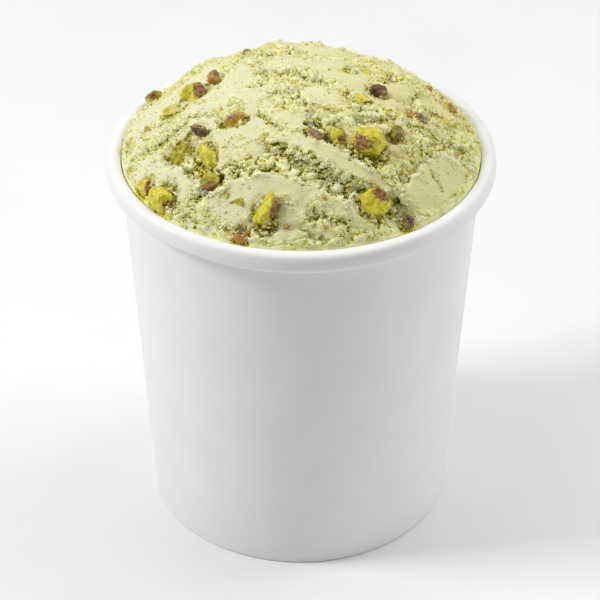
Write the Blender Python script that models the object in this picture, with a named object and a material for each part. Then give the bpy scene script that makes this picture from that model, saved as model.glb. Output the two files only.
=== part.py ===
"""A pint of pistachio ice cream in a plain white paper tub.

The tub is a conical side wall with a rolled rim and a folded foot, and a base disc
whose flange is held in that fold. The ice cream fills it and is heaped above the rim
in overlapping scoop strokes, with torn, crumbly hollows between them. Chunks of
pistachio sit in sockets in the heap, and smaller bits are one solid with it.

Frame: metres, +Z up, -Y to the front of the heap, origin in the middle of the foot.
"""

import math
from collections import namedtuple

import bmesh
import bpy
import numpy as np
from mathutils import Matrix, Vector

MM = 0.001
GAP = 0.3                   # clearance between neighbouring pieces, in mm

# Paper tub, in mm. The wall's radii are those of its outer face.
TUB_HEIGHT = 101.5
FOOT_RADIUS = 38.5
TOP_RADIUS = 45.1
BOARD = 0.5
RIM_RADIUS = 48.5
RIM_HEIGHT = 5.1
RIM_SQUARENESS = 2.6        # 2 is an ellipse, more is boxier
HEM_HEIGHT = 6.2
BASE_TOP = 7.0
SEAM_WIDTH = 7.0            # overlap of the wall's glued ends, at the back
SEAM_STEP = 0.25
TURN_STEPS = 64

# Heap of ice cream, in mm.
HEAP_RISE = 18.5            # top of the heap above the rim
HEAP_EDGE = -1.5            # where the ice cream meets the wall, below the rim
HEAP_RADIUS = 45.0
HEAP_POWER = 2.6            # 2 is a round dome, more is flatter on top
HEAP_RINGS = 26
CLIFF = 1.1                 # width of the torn step at a fold
LIP_REACH = 3.5             # how far the lip beside a fold swells back
LIP_SHARE = 0.35            # height of that lip as a share of the fold's drop
FOLD_FADE = 0.16            # share of a fold's length over which it dies out

# A fold is the torn edge of a scoop stroke. It runs through (x, y) points seen from
# above, and the surface drops on its right-hand side into a hollow of that width.
Fold = namedtuple("Fold", "drop width points")
FOLDS = (
    # the crest and the strokes that sweep down from it to the right
    Fold(1.2, 3.5, ((-13, 8), (-4, 6.8), (2, 4.3), (9.5, -0.3))),
    Fold(1.5, 4.0, ((-9, -1.5), (-4, -2.6), (0.5, -6), (3.5, -10.5))),
    Fold(0.8, 3.0, ((-14, -9.5), (-9, -12), (-5, -15.5), (-3, -19))),
    Fold(2.0, 5.0, ((1, -20), (0.8, -16), (0.5, -12), (1.5, -8.5))),
    Fold(2.2, 6.0, ((-10, -20.3), (-3, -22.6), (4, -26.2), (11, -29.3), (19.5, -30.3))),
    Fold(1.8, 4.0, ((19, -28.8), (12, -26.3), (6, -23), (0.5, -20.3))),
    # the mound at the front, and a smaller stroke across its face
    Fold(2.4, 5.0, ((17.5, -38.5), (8, -35.2), (0, -32.5), (-8, -30.6), (-16, -30.4),
                    (-23, -32), (-26, -35.5))),
    Fold(0.8, 3.0, ((-11, -39.5), (-4, -38.8), (2, -40.2), (6, -42))),
    Fold(0.9, 2.5, ((1, -36), (6, -37.6), (13, -38.6))),
    # the strip along the rim at the left, and the lumps behind it
    Fold(2.2, 5.0, ((-20.5, -30.5), (-24.5, -28), (-29, -23), (-33, -17), (-36.5, -12.5))),
    Fold(1.2, 3.0, ((-42, -6.5), (-37, -9), (-32, -9.3), (-27, -7))),
    Fold(0.9, 3.0, ((-31, -3.5), (-26, -5.5), (-21, -6.8), (-17, -8))),
    Fold(0.7, 3.0, ((-39, 0.5), (-33, -1), (-27, 0.5), (-22, -1.5))),
    # the flat face left by a scoop at the right, and the shelves behind it
    Fold(1.8, 3.0, ((42.5, -15), (38.5, -12.8), (34.5, -14.2), (29.5, -20.5), (25.5, -28),
                    (23, -35))),
    Fold(2.0, 3.5, ((43, 2.5), (38, -0.3), (33, -3.5), (28.5, -6.5), (24.5, -6.2))),
    Fold(0.9, 3.0, ((2.5, -9.5), (8, -9.8), (14, -8.6), (20, -7.6))),
    Fold(2.0, 5.0, ((10.5, -17), (11.5, -13.2), (16, -11), (21.5, -10))),
    Fold(1.2, 7.0, ((24, -8.5), (30, -8), (37, -6), (44, -3.5))),
    # the far side of the heap
    Fold(1.6, 4.0, ((16, 14), (6, 12.5), (-4, 14), (-13, 12.5), (-20, 14.5))),
    Fold(1.8, 5.0, ((30, 14), (22, 21), (10, 25), (-4, 25.5))),
    Fold(1.6, 4.0, ((-8, 23), (-18, 22.5), (-27, 17), (-33, 9.5))),
    Fold(1.6, 5.0, ((6, 36), (-8, 35), (-20, 31.5), (-30, 26))),
    Fold(1.4, 4.0, ((40, 8), (36, 16), (29, 24), (19, 31))),
)

# A pit is a hole torn out of the heap, its half-lengths along and across its turn.
Pit = namedtuple("Pit", "x y along across turn depth")
PITS = (
    Pit(-29, -17, 4.8, 3.6, -30, 2.4),
    Pit(-24.5, -23, 2.6, 1.8, -40, 1.4),
    Pit(6, -20.5, 4.2, 2.4, -25, 1.8),
    Pit(21.5, -16, 2.6, 1.8, 60, 1.4),
    Pit(22, -32.5, 3.2, 2.8, 60, 2.6),
    Pit(24.5, -24.5, 3.0, 1.6, 60, 1.8),
    Pit(-43.2, -2, 4.5, 2.6, 95, 2.0),
    Pit(32.5, -21.7, 2.6, 0.9, -52, 1.0),
    Pit(27.2, 0.6, 3.2, 1.2, 85, 1.4),
    Pit(-26.5, -34.5, 3.4, 2.2, -50, 1.6),
)

# Soft swellings of the heap: middle, radius and height.
Swell = namedtuple("Swell", "x y radius height")
SWELLS = (
    Swell(-6, 22, 11, 2.0),
    Swell(-22, 21, 10, 1.4),
    Swell(14, 21, 7, -1.6),
    Swell(30, 12, 10, 0.6),
    Swell(-8, -34, 9, 0.8),
)

# A cut is a flat face: the azimuth and elevation that it faces, and how far out it lies as
# a share of the way from the chunk's middle to its side.
Cut = namedtuple("Cut", "azimuth elevation depth")

# Pistachio chunks: place, size, turn about the surface's normal, lean of the narrow end
# away from the surface, rise of the middle above it, and the flat cuts.
Chunk = namedtuple("Chunk", "x y length width height turn lean rise cuts")
CHUNKS = (
    Chunk(-36.6, 20.2, 5.6, 4.2, 3.8, 20, 0, 0.6, (Cut(-80, 35, 0.4),)),
    Chunk(-25.9, 3.8, 8.2, 5.0, 4.8, 15, 0, 0.8, (Cut(-105, 30, 0.4),)),
    Chunk(-21.2, 7.2, 3.8, 3.4, 3.8, 60, 20, 1.0, ()),
    Chunk(-31.8, 0.8, 5.2, 3.4, 3.0, -10, 0, 0.3, (Cut(-90, 55, 0.5),)),
    Chunk(-16.0, -12.7, 8.0, 3.4, 3.2, 18, 0, 0.3, (Cut(-80, 25, 0.5),)),
    Chunk(-24.3, -13.3, 7.2, 3.6, 4.0, -55, 0, 0.5, (Cut(60, 40, 0.5),)),
    Chunk(-28.1, -15.6, 8.6, 6.0, 5.2, 0, 0, 0.3, (Cut(-112, 30, 0.35), Cut(-12, 20, 0.6))),
    Chunk(-22.0, -21.4, 8.8, 4.6, 4.8, -88, 0, 0.4, ()),
    Chunk(-21.0, -27.0, 5.6, 5.0, 4.6, -20, 0, 0.8, (Cut(-90, 60, 0.55),)),
    Chunk(-37.4, -20.6, 6.0, 4.2, 4.2, -105, 0, 0.3, (Cut(-150, 35, 0.4),)),
    Chunk(-32.6, -26.7, 10.4, 6.4, 5.8, -72, 0, 0.5, ()),
    Chunk(-8.1, -37.1, 10.4, 6.0, 5.2, 50, 10, 0.7, (Cut(-175, 40, 0.3),)),
    Chunk(-13.9, -40.6, 4.6, 3.6, 4.0, 75, 0, 0.3, (Cut(-90, 40, 0.5),)),
    Chunk(4.1, -19.4, 7.6, 3.6, 3.2, -22, 0, 0.3, ()),
    Chunk(9.0, -19.2, 6.0, 3.2, 3.6, -66, 0, 0.6, (Cut(-100, 30, 0.6),)),
    Chunk(15.8, -20.4, 10.6, 8.8, 8.0, 100, 40, 1.6, ()),
    Chunk(22.8, -14.0, 5.8, 3.2, 4.6, 75, 10, 0.8, ()),
    Chunk(17.4, -33.5, 9.0, 7.8, 7.6, -15, 0, 1.2,
          (Cut(-118, 25, 0.4), Cut(-35, 15, 0.6), Cut(110, 30, 0.6))),
    Chunk(25.0, -34.5, 4.6, 4.2, 4.6, 75, 0, 0.4, (Cut(-90, 50, 0.6),)),
    Chunk(18.7, -0.7, 5.4, 4.0, 3.6, -20, 0, 0.6, ()),
    Chunk(14.9, -5.9, 4.0, 3.2, 3.2, 0, 0, 0.3, (Cut(-90, 55, 0.5),)),
    Chunk(27.7, -5.6, 7.0, 3.4, 3.2, -30, 0, 0.2, (Cut(90, 50, 0.5),)),
    Chunk(34.8, -0.7, 9.2, 3.2, 3.2, 28, 0, 0.2, (Cut(-60, 50, 0.4),)),
    Chunk(36.8, 11.3, 6.2, 3.0, 2.8, 22, 0, 0.2, (Cut(-90, 50, 0.5),)),
)
CHUNK_POINTS = 28
CHUNK_SEED = 40
SOCKET_GROWTH = 1.3 * GAP     # how much wider than its chunk a socket is, each way

# Smaller bits, fused to the heap: where they lie and how long they are.
Bit = namedtuple("Bit", "x y size")
BITS = (
    Bit(-37.3, -1.2, 4.4), Bit(-15.1, -34.9, 3.8), Bit(24.0, -23.8, 3.8), Bit(24.8, -16.8, 2.0),
    Bit(8.3, -29.5, 4.4), Bit(15.5, 9.4, 3.4), Bit(21.4, 8.7, 3.6), Bit(31.7, 13.7, 3.0),
    Bit(40.2, 12.8, 3.0), Bit(37.8, -10.5, 3.8), Bit(40.2, -14.7, 2.2), Bit(-13.4, 20.5, 2.8),
    Bit(5.5, -35.7, 1.9), Bit(5.9, -40.7, 1.9), Bit(9.0, -41.0, 2.6), Bit(4.6, -42.2, 3.0),
    Bit(-9.4, 6.7, 2.2), Bit(-2.3, 3.1, 2.8), Bit(7.6, 6.9, 1.7), Bit(28.0, 4.7, 2.2),
    Bit(-3.7, -40.1, 1.8), Bit(15.8, 1.0, 1.9), Bit(-15.6, -20.2, 2.2), Bit(20.8, -1.6, 1.6),
    Bit(17.4, 6.1, 1.7), Bit(26.4, 0.3, 3.0), Bit(-19.2, -7.5, 1.8), Bit(-17.5, -32.4, 2.2),
    Bit(-42.0, 1.2, 2.6), Bit(0.4, -13.3, 2.2), Bit(2.0, 31.0, 3.0), Bit(-26.0, 29.0, 2.8),
    Bit(20.0, 36.0, 2.8), Bit(12.0, 20.0, 2.6),
)
BIT_SEED = 7


# ---- materials and meshes -----------------------------------------------------------


def make_material(name, colour, roughness):
    """A plain Principled material: sRGB colour from 0 to 1, roughness, not metallic."""
    material = bpy.data.materials.new(name)
    material.use_nodes = True
    shader = material.node_tree.nodes["Principled BSDF"]
    linear = [channel ** 2.2 for channel in colour]
    shader.inputs["Base Color"].default_value = (*linear, 1.0)
    shader.inputs["Roughness"].default_value = roughness
    shader.inputs["Metallic"].default_value = 0.0
    material.diffuse_color = (*linear, 1.0)
    return material


def make_object(name, points, faces, material=None, sharp_deg=40):
    """A closed mesh object from points in mm, its faces turned outwards."""
    mesh = bpy.data.meshes.new(name)
    mesh.from_pydata([tuple(float(c) * MM for c in point) for point in points], [], faces)
    work = bmesh.new()
    work.from_mesh(mesh)
    bmesh.ops.recalc_face_normals(work, faces=work.faces)
    work.to_mesh(mesh)
    work.free()
    mesh.shade_smooth()
    mesh.set_sharp_from_angle(angle=math.radians(sharp_deg))
    if material:
        mesh.materials.append(material)
    piece = bpy.data.objects.new(name, mesh)
    bpy.context.scene.collection.objects.link(piece)
    return piece


# ---- the tub ------------------------------------------------------------------------


def wall_radius(height):
    """Outer radius of the side wall at a height."""
    return FOOT_RADIUS + (TOP_RADIUS - FOOT_RADIUS) * height / TUB_HEIGHT


def turn_angles():
    """Angles of the turned pieces: even steps, and the two sides of the glued seam."""
    half_seam = SEAM_WIDTH / (FOOT_RADIUS + TOP_RADIUS)
    edge = 0.004
    back = math.pi / 2
    seam = [back - half_seam - edge, back - half_seam, back + half_seam, back + half_seam + edge]
    even = [2 * math.pi * step / TURN_STEPS for step in range(TURN_STEPS)]
    return sorted(seam + [a for a in even if abs(a - back) > half_seam + 2 * edge or a == back])


def on_seam(angle):
    return abs(angle - math.pi / 2) < SEAM_WIDTH / (FOOT_RADIUS + TOP_RADIUS) + 0.001


def turn(name, outline, material, closed=True):
    """Turn an outline of (radius, height, seam step) about Z.

    A closed outline makes a ring. An open one starts and ends on the axis.
    """
    angles = turn_angles()
    points, faces = [], []
    rows = outline if closed else outline[1:-1]
    count = len(rows)
    for angle in angles:
        for radius, height, step in rows:
            reach = radius + (step if on_seam(angle) else 0.0)
            points.append((reach * math.cos(angle), reach * math.sin(angle), height))
    turns = len(angles)
    for i in range(turns):
        here, there = i * count, (i + 1) % turns * count
        for j in range(count if closed else count - 1):
            k = (j + 1) % count
            faces.append((here + j, there + j, there + k, here + k))
    if not closed:
        for row, end in ((0, outline[0]), (count - 1, outline[-1])):
            points.append((0.0, 0.0, end[1]))
            tip = len(points) - 1
            faces += [(tip, i * count + row, (i + 1) % turns * count + row) for i in range(turns)]
    return make_object(name, points, faces, material)


def rim_bead():
    """The rolled rim's section, from its inner side over the top to the wall."""
    inner = wall_radius(TUB_HEIGHT) - BOARD
    half_width = (RIM_RADIUS - inner) / 2
    half_height = RIM_HEIGHT / 2
    middle = RIM_RADIUS - half_width
    power = 2 / RIM_SQUARENESS
    section = []
    for degrees in range(180, -121, -30):
        c, s = math.cos(math.radians(degrees)), math.sin(math.radians(degrees))
        radius = middle + half_width * math.copysign(abs(c) ** power, c)
        height = TUB_HEIGHT - half_height + half_height * math.copysign(abs(s) ** power, s)
        section.append((radius, height, 0.0))
    crease = TUB_HEIGHT - RIM_HEIGHT + 0.9
    section.append((wall_radius(crease), crease, SEAM_STEP))
    return section


def make_wall(material):
    """Side wall, rolled rim and the fold at the foot that grips the base's flange."""
    hem_inner = wall_radius(0) - 3 * BOARD - 2 * GAP - BOARD / 2
    slope = (TOP_RADIUS - FOOT_RADIUS) / TUB_HEIGHT
    hem_lean = slope * HEM_HEIGHT
    outline = rim_bead()
    outline += [
        (wall_radius(50), 50, SEAM_STEP),
        (wall_radius(0.5), 0.5, SEAM_STEP),
        (wall_radius(0) - 0.35, 0.0, 0.0),
        (hem_inner + 0.3, 0.0, 0.0),
        (hem_inner, 0.35, 0.0),
        (hem_inner + hem_lean, HEM_HEIGHT, 0.0),
        (hem_inner + hem_lean + BOARD, HEM_HEIGHT, 0.0),
        (hem_inner + BOARD, BOARD, 0.0),
        (wall_radius(BOARD) - BOARD, BOARD, 0.0),
        (wall_radius(50) - BOARD, 50, 0.0),
        (wall_radius(TUB_HEIGHT - RIM_HEIGHT) - BOARD, TUB_HEIGHT - RIM_HEIGHT, 0.0),
    ]
    return turn("cup_wall", outline, material)


def make_base(material):
    """Base disc with its flange turned down into the fold of the wall."""
    foot = BOARD + GAP

    def flange(height):
        return wall_radius(height) - BOARD - GAP

    outline = [
        (0, BASE_TOP, 0),
        (20, BASE_TOP, 0),
        (flange(BASE_TOP) - 0.6, BASE_TOP, 0),
        (flange(BASE_TOP) - 0.15, BASE_TOP - 0.2, 0),
        (flange(BASE_TOP), BASE_TOP - 0.6, 0),
        (flange(foot), foot, 0),
        (flange(foot) - BOARD, foot, 0),
        (flange(BASE_TOP) - BOARD, BASE_TOP - BOARD, 0),
        (20, BASE_TOP - BOARD, 0),
        (0, BASE_TOP - BOARD, 0),
    ]
    return turn("cup_base", outline, material, closed=False)


# ---- the heap's surface -------------------------------------------------------------


def smooth_step(value):
    value = np.clip(value, 0, 1)
    return value * value * (3 - 2 * value)


def lattice_noise(x, y, cell, seed):
    """Smooth bumps from -1 to 1, each about one cell wide."""
    table = np.random.default_rng(seed).uniform(-1, 1, (64, 64))
    column, row = np.floor(x / cell).astype(int), np.floor(y / cell).astype(int)
    across, along = smooth_step(x / cell - column), smooth_step(y / cell - row)

    def value(right, up):
        return table[(column + right) % 64, (row + up) % 64]

    low = value(0, 0) * (1 - across) + value(1, 0) * across
    high = value(0, 1) * (1 - across) + value(1, 1) * across
    return low * (1 - along) + high * along


def smooth_path(points, steps=8):
    """Points along a Catmull-Rom curve through the given ones."""
    knots = np.array([points[0], *points, points[-1]], float)
    path = []
    for a, b, c, d in zip(knots, knots[1:], knots[2:], knots[3:]):
        for t in np.arange(steps) / steps:
            path.append(0.5 * (2 * b + (c - a) * t + (2 * a - 5 * b + 4 * c - d) * t ** 2
                               + (3 * b - a - 3 * c + d) * t ** 3))
    path.append(knots[-1])
    return np.array(path)


def side_of(path, x, y):
    """Signed distance to a path, positive on its right, and the share of its length."""
    best = np.full(x.shape, np.inf)
    side, share = np.zeros(x.shape), np.zeros(x.shape)
    lengths = np.hypot(*np.diff(path, axis=0).T)
    total, run = lengths.sum(), 0.0
    for (ax, ay), (bx, by), length in zip(path, path[1:], lengths):
        ux, uy = (bx - ax) / length, (by - ay) / length
        along = np.clip((x - ax) * ux + (y - ay) * uy, 0, length)
        dx, dy = x - ax - along * ux, y - ay - along * uy
        distance = np.hypot(dx, dy)
        nearer = distance < best
        best = np.where(nearer, distance, best)
        side = np.where(nearer, np.where(uy * dx - ux * dy >= 0, distance, -distance), side)
        share = np.where(nearer, (run + along) / total, share)
        run += length
    return side, share


def fold_relief(fold, x, y):
    """Lip on the left of a fold, torn step and hollow on its right."""
    side, share = side_of(smooth_path(fold.points), x, y)
    side = side + 0.5 * lattice_noise(x, y, 2.4, 3) + 0.25 * lattice_noise(x, y, 1.1, 4)
    fade = smooth_step(share / FOLD_FADE) * smooth_step((1 - share) / FOLD_FADE)
    step = smooth_step(side / CLIFF)
    lip = fold.drop * LIP_SHARE * np.exp(-(np.minimum(side, 0) / LIP_REACH) ** 2)
    refill = smooth_step((side - CLIFF) / (fold.width - CLIFF))
    return fade * (lip * (1 - step) - fold.drop * step * (1 - refill))


def pit_relief(pit, x, y):
    c, s = math.cos(math.radians(pit.turn)), math.sin(math.radians(pit.turn))
    dx, dy = x - pit.x, y - pit.y
    spread = np.hypot((c * dx + s * dy) / pit.along, (c * dy - s * dx) / pit.across)
    return -pit.depth * (1 - smooth_step((spread - 0.45) / 0.75))


def heap_height(x, y):
    """Height of the ice cream's surface over (x, y), all in mm."""
    x, y = np.asarray(x, float), np.asarray(y, float)
    share = np.minimum(np.hypot(x, y) / HEAP_RADIUS, 1)
    height = TUB_HEIGHT + HEAP_EDGE + (HEAP_RISE - HEAP_EDGE) * (1 - share ** HEAP_POWER)
    relief = sum(fold_relief(fold, x, y) for fold in FOLDS)
    relief += sum(pit_relief(pit, x, y) for pit in PITS)
    for swell in SWELLS:
        spread = np.hypot(x - swell.x, y - swell.y) / swell.radius
        relief += swell.height * (1 - smooth_step(spread))
    relief += 0.45 * lattice_noise(x, y, 9.0, 1) + 0.22 * lattice_noise(x, y, 3.2, 2)
    return height + relief * smooth_step((1 - share) / 0.12 + 0.25)


def heap_frame(x, y):
    """Places (x, y) on the smoothed surface, +Z along its normal and +X over the world's."""
    reach = 2.0
    spots = [(x + i * reach, y + j * reach) for i in (-1, 0, 1) for j in (-1, 0, 1)]
    heights = heap_height(*np.array(spots).T).reshape(3, 3)
    slope_x = (heights[2].mean() - heights[0].mean()) / (2 * reach)
    slope_y = (heights[:, 2].mean() - heights[:, 0].mean()) / (2 * reach)
    normal = Vector((-slope_x, -slope_y, 1)).normalized()
    right = Vector((1, 0, slope_x)).normalized()
    turned = Matrix((right, normal.cross(right), normal)).transposed()
    return Matrix.Translation((x, y, float(heights.mean()))) @ turned.to_4x4()


# ---- ice cream and pistachios -------------------------------------------------------


def make_ice_cream_body(material):
    """A solid that fills the tub, its top on rings with six more points each."""
    top_radius = wall_radius(TUB_HEIGHT + HEAP_EDGE) - BOARD - GAP
    bottom = BASE_TOP + GAP
    bottom_radius = wall_radius(bottom) - BOARD - GAP
    flat = [(0.0, 0.0)]
    start = [0]
    for ring in range(1, HEAP_RINGS + 1):
        start.append(len(flat))
        radius = top_radius * ring / HEAP_RINGS
        for step in range(6 * ring):
            angle = math.pi * step / (3 * ring)
            flat.append((radius * math.cos(angle), radius * math.sin(angle)))
    x, y = np.array(flat).T
    points = list(zip(x, y, heap_height(x, y)))
    faces = []
    for ring in range(1, HEAP_RINGS + 1):
        inner, outer = start[ring - 1], start[ring]
        inside, outside = 6 * (ring - 1), 6 * ring
        for sector in range(6):
            for step in range(ring):
                a = outer + sector * ring + step
                b = outer + (sector * ring + step + 1) % outside
                c = inner + (sector * (ring - 1) + step) % inside if inside else 0
                faces.append((a, b, c))
                if step < ring - 1:
                    d = inner + (sector * (ring - 1) + step + 1) % inside
                    faces.append((c, b, d))
    edge = 6 * HEAP_RINGS
    first = start[HEAP_RINGS]
    foot = len(points)
    shrink = bottom_radius / top_radius
    points += [(x[first + i] * shrink, y[first + i] * shrink, bottom) for i in range(edge)]
    for i in range(edge):
        k = (i + 1) % edge
        faces.append((first + i, foot + i, foot + k, first + k))
    faces.append(tuple(foot + i for i in range(edge)))
    return make_object("ice_cream", points, faces, material, sharp_deg=60)


def egg_points(seed):
    """Points spread over an uneven egg of radius 1, narrow towards +X."""
    draw = np.random.default_rng(seed)
    golden = math.pi * (3 - math.sqrt(5))
    rank = np.arange(CHUNK_POINTS)
    z = 1 - 2 * (rank + 0.5) / CHUNK_POINTS
    ring = np.sqrt(1 - z * z)
    unit = np.stack([ring * np.cos(rank * golden), ring * np.sin(rank * golden), z], axis=1)
    unit *= draw.uniform(0.88, 1.08, (CHUNK_POINTS, 1))
    unit[:, 1:] *= (1 - 0.25 * unit[:, 0])[:, None]
    return unit


def facing(cut):
    """The direction that a cut faces."""
    azimuth, elevation = math.radians(cut.azimuth), math.radians(cut.elevation)
    return Vector((math.cos(azimuth) * math.cos(elevation),
                   math.sin(azimuth) * math.cos(elevation), math.sin(elevation)))


def make_chunk(name, chunk, seed, growth=0.0, material=None):
    """The convex hull of an egg's points with its flat cuts, grown by a few tenths of a mm."""
    place = (heap_frame(chunk.x, chunk.y) @ Matrix.Translation((0, 0, chunk.rise))
             @ Matrix.Rotation(math.radians(chunk.turn), 4, "Z")
             @ Matrix.Rotation(math.radians(-chunk.lean), 4, "Y"))
    half = np.array((chunk.length, chunk.width, chunk.height)) / 2
    work = bmesh.new()
    for point in egg_points(seed):
        work.verts.new(point * (half + growth))
    bmesh.ops.convex_hull(work, input=work.verts)
    inside = [vertex for vertex in work.verts if not vertex.link_faces]
    bmesh.ops.delete(work, geom=inside, context="VERTS")
    for cut in chunk.cuts:
        normal = place.to_3x3().inverted() @ facing(cut)
        reach = float(np.linalg.norm(half * normal)) * cut.depth + growth
        bmesh.ops.bisect_plane(work, geom=[*work.verts, *work.edges, *work.faces],
                               plane_co=normal * reach, plane_no=normal, clear_outer=True)
        bmesh.ops.holes_fill(work, edges=work.edges)
    bmesh.ops.dissolve_degenerate(work, dist=0.1, edges=work.edges)
    bmesh.ops.triangulate(work, faces=work.faces)
    work.verts.index_update()
    corners = [place @ vertex.co for vertex in work.verts]
    faces = [[vertex.index for vertex in face.verts] for face in work.faces]
    work.free()
    return make_object(name, corners, faces, material, sharp_deg=28)


def make_chunks(material):
    """The pistachio chunks, and for each a slightly larger copy that cuts its socket."""
    cutters = bpy.data.collections.new("sockets")
    bpy.context.scene.collection.children.link(cutters)
    pieces = []
    for number, chunk in enumerate(CHUNKS, 1):
        seed = CHUNK_SEED + number
        pieces.append(make_chunk(f"pistachio_{number:02d}", chunk, seed, material=material))
        socket = make_chunk(f"socket_{number:02d}", chunk, seed, SOCKET_GROWTH)
        bpy.context.scene.collection.objects.unlink(socket)
        cutters.objects.link(socket)
        socket.hide_render = True
        socket.display_type = "WIRE"
    return pieces, cutters


def make_bits():
    """Small bits of nut, half sunk in the surface."""
    bits = bpy.data.collections.new("bits")
    bpy.context.scene.collection.children.link(bits)
    draw = np.random.default_rng(BIT_SEED)
    for number, bit in enumerate(BITS):
        work = bmesh.new()
        bmesh.ops.create_icosphere(work, subdivisions=1, radius=1.0)
        size = Vector((1.0, draw.uniform(0.6, 0.85), draw.uniform(0.5, 0.7))) * bit.size / 2
        corners = [Vector(vertex.co * size) * draw.uniform(0.9, 1.1) for vertex in work.verts]
        faces = [[vertex.index for vertex in face.verts] for face in work.faces]
        work.free()
        place = heap_frame(bit.x, bit.y) @ Matrix.Rotation(draw.uniform(0, math.pi), 4, "Z")
        piece = make_object(f"bit_{number:02d}", [place @ corner for corner in corners], faces)
        bpy.context.scene.collection.objects.unlink(piece)
        bits.objects.link(piece)
    return bits


def combine(piece, collection, operation, solver):
    """Join a collection to a piece, or cut it away, apply that, and remove its objects."""
    step = piece.modifiers.new("combine", "BOOLEAN")
    step.operation = operation
    step.operand_type = "COLLECTION"
    step.collection = collection
    step.solver = solver
    result = bpy.data.meshes.new_from_object(
        piece.evaluated_get(bpy.context.evaluated_depsgraph_get()))
    piece.modifiers.clear()
    piece.data = result
    for helper in list(collection.objects):
        bpy.data.objects.remove(helper, do_unlink=True)
    bpy.data.collections.remove(collection)


def drop_scraps(piece):
    """Keep a mesh's largest connected part only, and merge points that meet."""
    work = bmesh.new()
    work.from_mesh(piece.data)
    bmesh.ops.remove_doubles(work, verts=work.verts, dist=0.01 * MM)
    bmesh.ops.dissolve_degenerate(work, dist=0.01 * MM, edges=work.edges)
    left = set(work.verts)
    parts = []
    while left:
        part, front = set(), [left.pop()]
        while front:
            vertex = front.pop()
            part.add(vertex)
            for edge in vertex.link_edges:
                other = edge.other_vert(vertex)
                if other in left:
                    left.discard(other)
                    front.append(other)
        parts.append(part)
    parts.sort(key=len)
    loose = [vertex for part in parts[:-1] for vertex in part]
    bmesh.ops.delete(work, geom=loose, context="VERTS")
    bmesh.ops.triangulate(work, faces=work.faces)
    work.to_mesh(piece.data)
    work.free()


def make_ice_cream(material, sockets):
    piece = make_ice_cream_body(material)
    combine(piece, make_bits(), "UNION", "EXACT")
    combine(piece, sockets, "DIFFERENCE", "EXACT")
    drop_scraps(piece)
    piece.data.materials.clear()
    piece.data.materials.append(material)
    piece.data.shade_smooth()
    piece.data.set_sharp_from_angle(angle=math.radians(60))
    return piece


def main():
    for piece in list(bpy.data.objects):
        bpy.data.objects.remove(piece, do_unlink=True)
    paper = make_material("white paper", (0.93, 0.93, 0.92), 0.45)
    paper_base = make_material("white paper base", (0.91, 0.91, 0.90), 0.5)
    cream = make_material("pistachio ice cream", (0.87, 0.86, 0.68), 0.55)
    nut = make_material("pistachio", (0.72, 0.66, 0.26), 0.5)

    tub = bpy.data.objects.new("ice_cream_pint", None)
    bpy.context.scene.collection.objects.link(tub)
    pieces = [make_wall(paper), make_base(paper_base)]
    chunks, sockets = make_chunks(nut)
    pieces += chunks
    pieces.append(make_ice_cream(cream, sockets))
    for piece in pieces:
        piece.parent = tub


main()
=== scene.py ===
"""The looks of a pint of pistachio ice cream heaped in a plain white paper tub."""

import math
from collections import namedtuple
from itertools import product

import bmesh
import bpy
import numpy as np
from mathutils import Matrix, Vector


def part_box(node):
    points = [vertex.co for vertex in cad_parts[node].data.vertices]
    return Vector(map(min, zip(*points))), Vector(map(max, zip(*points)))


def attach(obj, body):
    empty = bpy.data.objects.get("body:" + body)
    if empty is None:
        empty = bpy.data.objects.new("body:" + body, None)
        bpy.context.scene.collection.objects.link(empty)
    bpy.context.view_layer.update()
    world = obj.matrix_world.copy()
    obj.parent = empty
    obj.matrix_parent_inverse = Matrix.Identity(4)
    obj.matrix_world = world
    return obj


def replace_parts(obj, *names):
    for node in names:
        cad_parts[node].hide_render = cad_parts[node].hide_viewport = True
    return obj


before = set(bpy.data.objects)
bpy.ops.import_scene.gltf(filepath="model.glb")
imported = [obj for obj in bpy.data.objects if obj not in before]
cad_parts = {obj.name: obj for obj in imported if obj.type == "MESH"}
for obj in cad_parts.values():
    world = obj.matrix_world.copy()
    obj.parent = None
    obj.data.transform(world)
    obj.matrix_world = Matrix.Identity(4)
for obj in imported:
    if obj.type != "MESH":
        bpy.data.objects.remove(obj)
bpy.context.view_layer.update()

MM = 0.001

# ---- sizes, in mm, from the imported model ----


def node_box(node):
    """Lowest and highest corner of a CAD node, in mm."""
    low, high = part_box(node)
    return np.array(low) / MM, np.array(high) / MM


TUB_HEIGHT = node_box("cup_wall")[1][2]
RIM_RADIUS = node_box("cup_wall")[1][0]
CREAM_FOOT = node_box("ice_cream")[0][2]
CREAM_RADIUS = node_box("ice_cream")[1][0]

# ---- the tub's own sizes, in mm, as in the part ----

GAP = 0.3  # clearance between neighbouring pieces
FOOT_RADIUS = 38.5
TOP_RADIUS = 45.1
BOARD = 0.5
RIM_HEIGHT = 5.1
RIM_SQUARENESS = 2.6  # 2 is an ellipse, more is boxier
RIM_STEP = 10  # degrees between the points of its section
HEM_HEIGHT = 6.2
BASE_TOP = CREAM_FOOT - GAP
SEAM_WIDTH = 7.0  # overlap of the wall's glued ends, at the back
SEAM_STEP = 0.25  # how far the wall stands out there
HALF_SEAM = SEAM_WIDTH / (FOOT_RADIUS + TOP_RADIUS)  # as an angle, in radians
SEAM_EDGE = 0.003  # over which its step rises, in radians
BACK = math.pi / 2  # its azimuth
TURN_STEPS = 240

# ---- the heap, in mm ----

HEAP_RISE = 18.5  # top of the heap above the rim
HEAP_EDGE = -1.5  # and its edge, which lies below the rim
HEAP_RADIUS = 45.0  # where it meets the wall
HEAP_POWER = 2.6  # 2 is a round dome, more is flatter on top
HEAP_RINGS = 50  # of the grid, whose longer edges are then split
SPLIT_ROUNDS = 3
CLIFF = 1.1  # width of the torn step at a fold
LIP_REACH = 3.5  # how far the lip beside a fold swells back
LIP_SHARE = 0.35  # height of that lip as a share of the fold's drop
FOLD_FADE = 0.16  # share of a fold's length over which it dies out

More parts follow.
